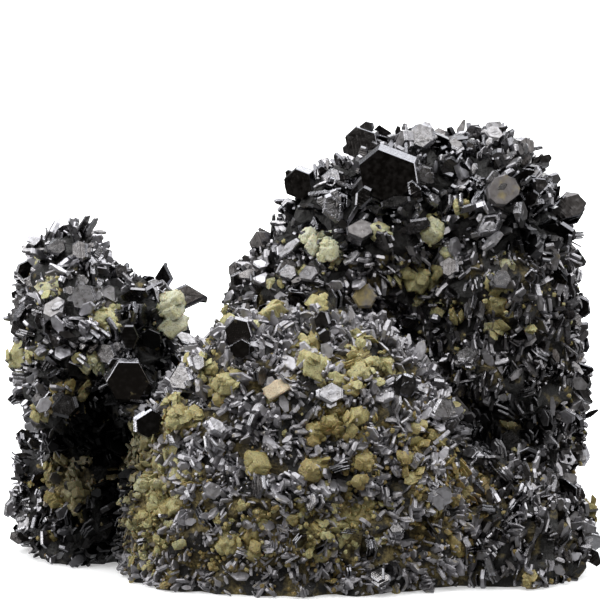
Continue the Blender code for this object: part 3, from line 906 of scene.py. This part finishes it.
def placed_blades(surface):
    """The narrow plates, seated in the view."""
    blades = []
    level = Vector((1, 0, 0))
    for blade in BLADES:
        lean = math.radians(blade.lean)
        roll = math.radians(blade.roll)
        along = level * math.cos(lean) + VIEW_UP * math.sin(lean)
        upper = VIEW_UP * math.cos(lean) - level * math.sin(lean)
        if upper.z < 0:
            upper.negate()
        facing = upper * math.cos(roll) - VIEW_ON * math.sin(roll)
        seat = Matrix.Translation(seat_in_view(blade, surface))
        blades.append((blade, seat @ standing(along, facing)))
    return blades


Large = namedtuple("Large", "place across thickness form tone")


def large_crystals(skin_mesh, surface):
    """The tablets and rhombs that the solid has, where it has them."""
    tablets = [Large(place_in_view(crystal, surface), crystal.across, crystal.thickness, crystal.form,
                     crystal.tone) for crystal in TABLETS]
    rhombs = [Large(place_in_view(crystal, surface), crystal.across * RHOMB_SIDE_TO_ACROSS, 0,
                    "rhomb", crystal.tone) for crystal in RHOMBS]
    taken = [(seat_in_view(crystal, surface), crystal.across / 2 * MM) for crystal in TABLETS + RHOMBS]
    rng = random.Random(SEED)
    for seat, normal in scattered_seats(rng, skin_mesh, TABLET_COUNT, taken):
        across = rng.uniform(*(SUMMIT_ACROSS if seat.z > SUMMIT_HEIGHT else TABLET_ACROSS))
        stance = random_stance(rng, normal, TABLET_LEAN)
        raised = Matrix.Translation(seat + normal * across * TABLET_RAISE * MM)
        tablets.append(Large(raised @ stance, across, across * TABLET_THICKNESS, "", None))
    for seat, normal in scattered_seats(rng, skin_mesh, RHOMB_COUNT, taken):
        side = rng.uniform(*RHOMB_SIDE)
        stance = random_stance(rng, normal, RHOMB_LEAN)
        rhombs.append(Large(Matrix.Translation(seat) @ stance, side, 0, "rhomb", None))
    return tablets, rhombs


def held(value, low=0, high=1):
    """The value, or the end of the range that it has passed."""
    return min(high, max(low, value))


def region_of(point):
    """The part of the cluster that a point is on."""
    reaches = []
    for name, group in MOUNDS.items():
        for x, y, z, half_x, half_y, half_z in group:
            reaches.append((math.hypot((point.x / MM - x) / half_x, (point.y / MM - y) / half_y,
                                       (point.z / MM - z) / half_z), name))
    region = min(reaches)[1]
    if region == "right" and point.z > SUMMIT_HEIGHT:
        return "summit"
    if region == "front" and point.z < FOOT_HEIGHT:
        return "foot"
    return region


def spread(patch, x, up):
    """How far a place in the view is from a patch's middle, squared, in its half widths."""
    return ((x - patch.x) / patch.half_x) ** 2 + ((up - patch.up) / patch.half_up) ** 2


def bed_at(point):
    """How thick siderite lies at a point, and its tone there."""
    x = point.x / MM
    up = point.dot(VIEW_UP) / MM
    richness, tone = 0, None
    for bed in BEDS:
        here = bed.richness * held(BED_EDGE - spread(bed, x, up))
        if here > richness:
            richness, tone = here, bed.tone
    return richness, tone


def painted_shade_at(point):
    """How much painted shade a point gets, from 0 to 1."""
    x = point.x / MM
    up = point.dot(VIEW_UP) / MM
    shade = max(hollow.depth * held(HOLLOW_EDGE - spread(hollow, x, up)) for hollow in HOLLOWS)
    return shade * held((FADE_FROM - point.y) / FADE_DEPTH)


def siderite_tone(place, region, chance):
    """Cream on the upper mounds, yellow on the front one and browner low down."""
    middle = {"front": 0.28, "foot": 0.32, "root": 0.25}.get(region, 0.34)
    return middle + 0.45 * held(place.z / (45 * MM)) + chance.uniform(-0.14, 0.14)


def cluster_grains(forms, growth, chance, place, stance, side, tone):
    """Rhombs that have grown into each other, all nearly parallel."""
    for _ in range(chance.randint(2, 4)):
        nudge = Vector([chance.uniform(-0.4, 0.4) * side for _ in range(3)])
        turn = Matrix.Rotation(chance.gauss(0, 0.25), 4, Vector((chance.random(), chance.random(), 1)))
        sizes = [side * chance.uniform(*shares) for shares in GRAIN_SHAPE]
        growth.plant(chance.choice(forms["grain"]), Matrix.Translation(place + nudge) @ stance @ turn,
                     sizes, tone + chance.uniform(-0.06, 0.06))


Ground = namedtuple("Ground", "region rear cover richness tone")


class Thicket:
    """The small crystals that cover the crust."""

    def __init__(self, forms, tablets, blades, growths):
        self.forms = forms
        self.growths = growths
        self.chance = random.Random(THICKET_SEED)
        self.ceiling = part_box(NODE)[1][2]
        self.guards = []
        for large in tablets:
            if large.form:
                share = RIM_GUARD_SHARE if large.form in RIMS else GUARD_SHARE
                self.add_guard(large.place, large.across * share * MM, large.thickness)
        for blade, place in blades:
            self.add_guard(place, blade.length * GUARD_SHARE * MM, blade.thickness)

    def add_guard(self, place, radius, thickness):
        """Keeps the broad face of a placed crystal bare."""
        self.guards.append((place.inverted(), radius, thickness / 2 * MM))

    def cover(self, crust, share):
        """Plants small crystals on every face of the crust."""
        chance = self.chance
        for face in crust.polygons:
            if face.center.z < LOWEST_PLATE:
                continue
            region = region_of(face.center)
            rear = face.normal.y > REAR_FROM
            richness, tone = (0, None) if face.normal.y > REARWARD else bed_at(face.center)
            cover = COVERS[region]
            ground = Ground(region, rear, cover, richness, tone)
            area = face.area / MM ** 2 * (REAR_SHARE if rear else 1) * share
            patch = max(noise.noise(face.center / PATCH_SIZE) * 3.4 + 0.45, 0)
            clump = held(noise.noise(face.center / CLUMP_SIZE + CLUMP_START) * 4 + 1, *CLUMP_PLATES)
            open_share = max(0.45, 1.2 - patch * 0.4) * (1 - richness * BED_PLATES)
            for plant, density in (
                (self.plant_plate, cover.plates * clump * open_share),
                (self.plant_grain, cover.grains * patch + richness * BED_GRAINS),
                (self.plant_nodule, richness * BED_NODULES),
                (self.plant_crumb, cover.crumbs * patch + richness * BED_CRUMBS),
            ):
                expected = area * density
                while chance.random() < expected:
                    expected -= 1
                    shift = Vector([chance.uniform(-0.5, 0.5) * CRUST_VOXEL for _ in range(3)])
                    plant(face.center + shift, face.normal.copy(), ground)

    def is_clear(self, point, reach):
        """Whether a crystal at a point leaves the broad faces of the placed ones bare."""
        if point.z < reach * FLOOR_REACH or point.z + reach > self.ceiling:
            return False
        for inverse, radius, half in self.guards:
            local = inverse @ point
            if local.xy.length < radius and -half * GUARD_BEHIND < local.z < half + reach * GUARD_BEFORE:
                return False
        return True

    def edgewise(self, seat, normal, region):
        """Stands a plate on its edge, much as the plates near it stand, with its long side outwards.

        On the curtain of the right mound the long sides stand upright.
        """
        facing = noise.noise_vector(seat / GROUP_SIZE) * GROUP_ORDER
        facing += Vector([self.chance.gauss(0, 0.4) for _ in range(3)])
        facing -= normal * facing.dot(normal) * 0.75
        outwards = normal
        if region == "right" and seat.x > CURTAIN_FROM and self.chance.random() < CURTAIN_SHARE:
            facing.z *= 0.25
            outwards = UPRIGHT
        facing.normalize()
        outwards = outwards - facing * outwards.dot(facing)
        outwards.normalize()
        return standing(outwards, facing) @ Matrix.Rotation(self.chance.gauss(0, 0.7), 4, "Z")

    def plant_plate(self, seat, normal, ground):
        """A plate that mostly stands on its edge, sometimes with parallel ones beside it."""
        chance = self.chance
        low, high = ground.cover.across
        across = (low + (high - low) * chance.random() ** SMALL_PLATES) * MM
        thickness = across * chance.uniform(*PLATE_THICKNESS)
        stance = self.edgewise(seat, normal, ground.region)
        place = seat + normal * across * chance.uniform(*PLATE_RAISE)
        if not self.is_clear(place, across / 2):
            return
        count = 1
        if chance.random() < STACK_SHARE:
            count = chance.randint(*STACK_PLATES)
            thickness *= STACK_THINNER
        tone = chance.random() ** ground.cover.darkness
        tone = held(tone + noise.noise(place / TONE_SIZE) * TONE_SPREAD)
        dust = max(ground.cover.ochre, ground.richness * BED_OCHRE)
        plain = across < (REAR_BEVELLED_ACROSS if ground.rear else BEVELLED_ACROSS)
        growth = self.growths["rear" if ground.rear else ground.region]
        along = stance.to_3x3() @ UPRIGHT
        for index in range(count):
            form = chance.choice(self.forms["slab" if plain else "small"])
            shift = along * thickness * STACK_STEP * (index - (count - 1) / 2)
            shift += normal * across * chance.uniform(-STACK_SLIP, STACK_SLIP) * (count > 1)
            size = across * chance.uniform(0.6, 1)
            growth.plant(form, Matrix.Translation(place + shift) @ stance,
                         (size, size * chance.uniform(*PLATE_WIDTH), thickness), tone, dust)

    def plant_grain(self, seat, normal, ground):
        """A few worn rhombs of siderite grown together, half sunk."""
        side = self.chance.uniform(*ground.cover.side) * MM
        place = seat + normal * (side * self.chance.uniform(0.2, 0.8) + ground.richness * BED_RISE)
        if self.is_clear(place, side):
            stance = random_stance(self.chance, normal, GRAIN_LEAN)
            tone = self.bed_tone(place, ground)
            cluster_grains(self.forms, self.growths["grains"], self.chance, place, stance, side, tone)

    def plant_nodule(self, seat, normal, ground):
        """A cushion of siderite that plates stand out of."""
        across = self.chance.uniform(*NODULE_ACROSS) * MM
        if self.is_clear(seat, across / 2):
            stance = random_stance(self.chance, normal, NODULE_LEAN)
            size = (across, across * self.chance.uniform(0.5, 1), across * NODULE_HEIGHT)
            form = self.chance.choice(self.forms["nodule"])
            self.growths["nodules"].plant(form, Matrix.Translation(seat) @ stance, size,
                                          self.bed_tone(seat, ground) - 0.05)

    def plant_crumb(self, seat, normal, ground):
        """A crumb of siderite."""
        side = self.chance.uniform(*CRUMB_SIDE) * MM
        place = seat + normal * (side * self.chance.uniform(0.3, 1.5) + ground.richness * BED_RISE)
        if self.is_clear(place, side):
            stance = random_stance(self.chance, normal, GRAIN_LEAN)
            form = self.chance.choice(self.forms["crumb"])
            self.growths["crumbs"].plant(form, Matrix.Translation(place) @ stance, (side,) * 3,
                                         self.bed_tone(place, ground) - 0.08)

    def bed_tone(self, place, ground):
        """The tone of siderite in a bed, or by height outside the beds."""
        if ground.tone is None:
            return siderite_tone(place, ground.region, self.chance)
        return ground.tone + self.chance.uniform(-0.12, 0.12)


def plant_tablets(tablets, growth, forms):
    """The solid's tablets. The unplaced ones are often books of parallel plates."""
    chance = random.Random(TABLET_SEED)
    for large in tablets:
        across = large.across * MM
        thickness = large.thickness * MM
        if large.form:
            dust = FILMED_DUST.get(large.form, chance.uniform(0.1, 0.5))
            growth.plant(chance.choice(forms[large.form]), large.place, (across, across, thickness),
                         large.tone, dust)
            if large.form != "spear":
                plant_neighbours(large, growth, forms, chance)
            continue
        tone = chance.random() ** 1.8
        count = chance.choice((1, 2, 3, 3, 4))
        for index in range(count):
            level = ((index + 0.5) / count - 0.5) * thickness
            slip = [across * chance.uniform(-0.12, 0.12) for _ in range(2)]
            size = across * chance.uniform(0.72, 1)
            form = chance.choice(forms["sheet"])
            width = size * chance.uniform(0.65, 1)
            height = thickness / count * chance.uniform(0.6, 0.9)
            place = large.place @ Matrix.Translation((*slip, level))
            growth.plant(form, place, (size, width, height), tone, 0.1)


def plant_neighbours(large, growth, forms, chance):
    """Parallel plates grown through a tablet's rim, and thin ones on its broad faces."""
    across = large.across * MM
    thickness = large.thickness * MM

    def place_at(away, around, level):
        """A place by the tablet's middle, parallel to it."""
        return large.place @ Matrix.Translation((away * math.cos(around), away * math.sin(around), level))

    for _ in range(chance.randint(1, 3)):
        side = across * chance.uniform(0.30, 0.5)
        place = place_at(across * 0.38, chance.uniform(0, math.tau), thickness * chance.uniform(-0.4, 0.15))
        growth.plant(chance.choice(forms["sheet"]), place,
                     (side, side * chance.uniform(0.7, 1), thickness * chance.uniform(0.2, 0.5)),
                     large.tone, 0.1)
    for _ in range(0 if large.form in RIMS else chance.randint(0, 2)):
        side = across * chance.uniform(0.25, 0.5)
        around = chance.uniform(0, math.tau)
        place = place_at(across * 0.22 * chance.random(), around, thickness * 0.5)
        growth.plant(chance.choice(forms["slab"]), place,
                     (side, side * chance.uniform(0.6, 1), across * 0.02), large.tone, 0.1)


def plant_rhombs(rhombs, surface, growths, forms):
    """The solid's rhombs, each with smaller ones grown into it, and the single grains."""
    chance = random.Random(RHOMB_SEED)
    growth = growths["rhombs"]
    for grain, peach in SINGLE_GRAINS:
        growth.plant(forms["rhomb"][0], place_in_view(grain, surface), (grain.across * MM,) * 3,
                     grain.tone, peach)
    for large in rhombs:
        tone = large.tone
        spot = large.place.translation
        side = large.across * MM
        if tone is None:
            tone = siderite_tone(spot, region_of(spot), chance)
        growth.plant(chance.choice(forms["rhomb"]), large.place, (side * 0.95,) * 3, tone)
        stance = large.place.to_3x3().to_4x4()
        for _ in range(2):
            nudge = Vector([chance.uniform(-0.48, 0.48) * side for _ in range(3)])
            place = Matrix.Translation(spot + nudge) @ stance @ Matrix.Rotation(chance.gauss(0, 0.3), 4, "X")
            growth.plant(chance.choice(forms["rhomb"]), place, (side * chance.uniform(0.5, 0.8),) * 3, tone)
            nudge = Vector([chance.uniform(-0.5, 0.5) * side for _ in range(3)])
            cluster_grains(forms, growths["grains"], chance, spot + nudge, stance, side * 0.45, tone)


def plant_blades(blades, growth, forms):
    """The narrow plates in view."""
    chance = random.Random(BLADE_SEED)
    for blade, place in blades:
        size = (blade.length * MM, blade.width * MM * BLADE_WIDER, blade.thickness * MM)
        growth.plant(chance.choice(forms["small"]), place, size, blade.tone)


def drawing_shift(tablets, skin_mesh):
    """How far the solid was moved to put its origin under its middle."""
    points = [vertex.co for vertex in skin_mesh.vertices if vertex.co.z >= 0]
    for large in tablets:
        for corner in range(6):
            around = corner * math.tau / 6
            for side in (-0.5, 0.5):
                spot = Vector((math.sin(around) / 2 * large.across, math.cos(around) / 2 * large.across,
                               side * large.thickness))
                points.append(large.place @ (spot * MM))
    low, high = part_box(NODE)
    shift = []
    for axis in range(2):
        values = [point[axis] for point in points]
        shift.append((low[axis] + high[axis]) / 2 - (min(values) + max(values)) / 2)
    return Vector((*shift, 0))


def make_crust(crust, move):
    """The crust piece, with ochre by part and painted shade in the hollows."""
    spots = [corner.co for corner in crust.vertices]
    ochre = [max(COVERS[region_of(spot)].ochre, bed_at(spot)[0] * CRUST_OCHRE) for spot in spots]
    give_values(crust, "dust", ochre)
    # Painted shade by place, as the hollows give it.
    give_values(crust, "shade", [painted_shade_at(spot) for spot in spots])
    crust.transform(move)
    cut_at_floor(crust)
    seated("crust", crust, crust_finish())


def make_floor():
    """A pale floor, which glows with painted light."""
    form = bmesh.new()
    bmesh.ops.create_grid(form, x_segments=1, y_segments=1, size=FLOOR_SIZE)
    floor = linked("floor", mesh_of(form, "floor"))
    floor.data.materials.append(floor_finish())
    floor.location.z = -FLOOR_GAP
    floor.visible_glossy = False
    floor.visible_diffuse = False
    floor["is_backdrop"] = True


# The name, place, width, height and power of each soft box
LIGHTS = (
    ("overhead", (-0.05, 0.05, 0.62), 1.0, 0.9, 5.6),
    ("left_box", (-0.50, -0.22, 0.28), 0.40, 0.45, 1.5),
    ("left_low", (-0.55, 0.0, 0.13), 0.35, 0.24, 0.8),
    ("right_box", (0.50, -0.12, 0.22), 0.25, 0.40, 0.8),
    ("front_strip", (0.06, -0.42, 0.36), 0.36, 0.06, 0.5),
    ("rear_box", (0.10, 0.50, 0.30), 0.50, 0.30, 1.3),
    ("glint_left", (-0.20, -0.25, 0.55), 0.05, 0.05, 0.25),
    ("glint_right", (0.30, 0.05, 0.50), 0.05, 0.05, 0.25),
)


def add_light(name, place, width, height, power):
    """A soft rectangular light that looks at the specimen."""
    light = bpy.data.lights.new(name, "AREA")
    light.shape = "RECTANGLE"
    light.size = width
    light.size_y = height
    light.energy = power
    lamp = linked(name, light)
    lamp.location = place
    lamp.rotation_mode = "QUATERNION"
    lamp.rotation_quaternion = (UPRIGHT * 30 * MM - Vector(place)).to_track_quat("-Z", "Y")
    lamp.visible_camera = False


def light_studio():
    """White to the camera, dark in front and low for the crystals, with soft boxes round it."""
    world = bpy.data.worlds.new("studio")
    bpy.context.scene.world = world
    world.use_nodes = True
    world.node_tree.nodes.clear()
    studio = Tree(world.node_tree)
    toward = studio.node("TexCoord", output=0)
    height = studio.node("SeparateXYZ", {}, {0: toward}, output=2)
    rearward = studio.node("SeparateXYZ", {}, {0: toward}, output=1)
    upward = studio.clamped(1.35 * height - 0.27) + 0.30 * studio.clamped(rearward)
    glow = studio.clamped(upward + 0.60 * studio.clamped(-1.0 * height - 0.20))
    dim = studio.node("Background", {}, {0: (1, 0.95, 0.89, 1), 1: 0.165})
    bright = studio.node("Background", {}, {0: (0.92, 0.96, 1, 1), 1: 0.90})
    felt = studio.node("MixShader", {}, {0: glow, 1: dim, 2: bright})
    seen = studio.node("Background", {}, {0: (1, 1, 1, 1), 1: 1})
    camera_ray = studio.node("LightPath", output=0)
    chosen = studio.node("MixShader", {}, {0: camera_ray, 1: felt, 2: seen})
    output = world.node_tree.nodes.new("ShaderNodeOutputWorld")
    studio.feed(output.inputs["Surface"], chosen)
    for light in LIGHTS:
        add_light(*light)


def aim_camera(shift):
    """A long lens from the front, a little above the level."""
    data = bpy.data.cameras.new("camera")
    data.sensor_width = SENSOR
    data.lens = SENSOR * CAMERA_DISTANCE / FRAME_WIDTH
    data.clip_start, data.clip_end = CLIP_RANGE
    camera = linked("camera", data)
    camera.location = VIEW_UP * FRAME_MIDDLE_UP + shift - VIEW_ON * CAMERA_DISTANCE
    camera.rotation_mode = "QUATERNION"
    camera.rotation_quaternion = VIEW_ON.to_track_quat("-Z", "Y")
    bpy.context.scene.camera = camera


def write_sizes(solid_box):
    """The size of the solid and of the finished model."""
    boxes = {"solid": solid_box, "visual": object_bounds()}
    boxes = {name: [list(corner) for corner in box] for name, box in boxes.items()}


def main():
    bpy.context.scene.view_settings.view_transform = "Standard"
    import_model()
    solid_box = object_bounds()
    forms = make_forms()
    skin_mesh = wrapped_mounds(SKIN_VOXEL, add_facets)
    skin = bmesh.new()
    skin.from_mesh(skin_mesh)
    surface = BVHTree.FromBMesh(skin)
    skin.free()
    tablets, rhombs = large_crystals(skin_mesh, surface)
    blades = placed_blades(surface)
    shift = drawing_shift(tablets, skin_mesh)
    move = Matrix.Translation(shift)
    aim_camera(shift)
    light_studio()
    make_floor()

    growths = {name: Growth() for name in (*PLATED, "large", *SIDERITE)}
    crust = wrapped_mounds(CRUST_VOXEL, add_grain)
    Thicket(forms, tablets, blades, growths).cover(crust, 1)
    plant_tablets(tablets, growths["large"], forms)
    plant_blades(blades, growths["large"], forms)
    plant_rhombs(rhombs, surface, growths, forms)

    hematite = hematite_finish()
    siderite = siderite_finish()
    make_crust(crust, move)
    for name in PLATED:
        growths[name].piece(name + "_plates", hematite, "hematite", move)
    growths["large"].piece("large_tablets", hematite, "hematite", move)
    for name in SIDERITE:
        growths[name].piece("siderite_" + name, siderite, "siderite", move, name in SMOOTH)
    write_sizes(solid_box)


main()
